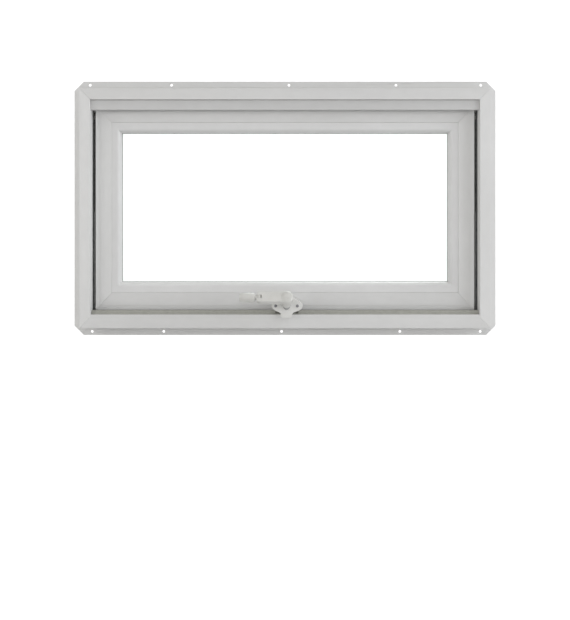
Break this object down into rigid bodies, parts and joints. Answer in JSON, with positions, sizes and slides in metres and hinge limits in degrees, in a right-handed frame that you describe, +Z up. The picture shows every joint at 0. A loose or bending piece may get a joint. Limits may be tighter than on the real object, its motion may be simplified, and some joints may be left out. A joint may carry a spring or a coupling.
{
  "type": "awning window",
  "caption": "White vinyl awning window with nailing fin: top-hung glazed sash on sliding stay hinges, opened by a crank operator at the sill.",
  "frame": {"origin": "on the underside of the sill, at the middle of the frame's width and depth", "axes": "+X along the sill to the right seen from the room, +Y outdoors, +Z up"},
  "size_m": [0.854, 0.118, 0.514],
  "materials": {
    "vinyl": "satin white extruded vinyl",
    "bead": "satin white extruded vinyl",
    "glass": "clear float glass",
    "spacer": "mill finish",
    "sealant": "matt black sealant",
    "rubber": "matt weatherstrip rubber",
    "steel": "stainless, brushed",
    "zinc": "die-cast zinc, plain",
    "enamel": "off-white powder coat",
    "nylon": "moulded nylon",
    "screw": "dark plated"
  },
  "bodies": {
    "frame": {"frame_sill": "vinyl", "frame_head": "vinyl", "frame_jamb_left": "vinyl", "frame_jamb_right": "vinyl", "head_stop": "vinyl", "sill_strip_left": "nylon", "sill_strip_right": "nylon", "hinge_track_left": "steel", "hinge_track_right": "steel", "fixed_pivot_left": "steel", "fixed_pivot_right": "steel", "operator_base": "zinc", "operator_cover": "enamel", "cover_screw_left": "screw", "cover_screw_right": "screw", "arm_retaining_nut": "steel"},
    "hinge_arms": {"hinge_arm_left": "steel", "hinge_arm_right": "steel"},
    "sash": {"sash_bottom_rail": "vinyl", "sash_top_rail": "vinyl", "sash_stile_left": "vinyl", "sash_stile_right": "vinyl", "bead_bottom": "bead", "bead_top": "bead", "bead_left": "bead", "bead_right": "bead", "glass_inner_pane": "glass", "glass_outer_pane": "glass", "glass_spacer": "spacer", "glass_edge_seal": "sealant", "glazing_tape": "sealant", "setting_block_left": "rubber", "setting_block_right": "rubber", "sash_seal_bottom": "rubber", "sash_seal_top": "rubber", "sash_seal_left": "rubber", "sash_seal_right": "rubber", "sash_bracket_left": "steel", "arm_rivet_left": "steel", "shoe_pin_left": "steel", "sash_bracket_right": "steel", "arm_rivet_right": "steel", "shoe_pin_right": "steel", "sash_track": "steel"},
    "hinge_shoes": {"hinge_shoe_left": "nylon", "hinge_shoe_right": "nylon"},
    "operator_arm": {"operator_arm": "steel", "sector_gear": "zinc", "ball_stud": "steel"},
    "crank": {"worm_shaft": "steel", "crank_handle": "enamel", "handle_set_screw": "screw", "knob_pin": "steel"},
    "knob_fold": {"knob_stem": "enamel"},
    "knob": {"knob_grip": "enamel"}
  },
  "joints": [
    {"name": "stay_swing", "type": "hinge", "parent": "frame", "child": "hinge_arms", "pos_m": [0, 0.002, 0.0275], "axis": [-1, 0, 0], "range_deg": [0, 40]},
    {"name": "sash_swing", "type": "hinge", "parent": "hinge_arms", "child": "sash", "pos_m": [0, 0.002, 0.2275], "axis": [1, 0, 0], "range_deg": [0, 80]},
    {"name": "shoe_turn", "type": "hinge", "parent": "sash", "child": "hinge_shoes", "pos_m": [0, 0.002, 0.4275], "axis": [-1, 0, 0], "range_deg": [0, 40]},
    {"name": "operator_arm_swing", "type": "hinge", "parent": "frame", "child": "operator_arm", "pos_m": [0.0355, 0.002, 0.0165], "axis": [0, 0, -1], "range_deg": [0, 40]},
    {"name": "crank_turn", "type": "hinge", "parent": "frame", "child": "crank", "pos_m": [0.003, 0.002, 0.0165], "axis": [0, -0.8387, 0.5446], "range_deg": [0, 2520]},
    {"name": "knob_fold_out", "type": "hinge", "parent": "crank", "child": "knob_fold", "pos_m": [-0.05, -0.0718, 0.06443], "axis": [0, 0.5446, 0.8387], "range_deg": [0, 90]},
    {"name": "knob_spin", "type": "hinge", "parent": "knob_fold", "child": "knob", "pos_m": [-0.073, -0.0718, 0.06443], "axis": [1, 0, 0], "continuous": true}
  ],
  "couplings": [
    {"joint": "sash_swing", "follows": "stay_swing", "ratio": 2},
    {"joint": "shoe_turn", "follows": "stay_swing", "ratio": 1},
    {"joint": "operator_arm_swing", "follows": "stay_swing", "ratio": 1},
    {"joint": "crank_turn", "follows": "stay_swing", "ratio": 63}
  ]
}
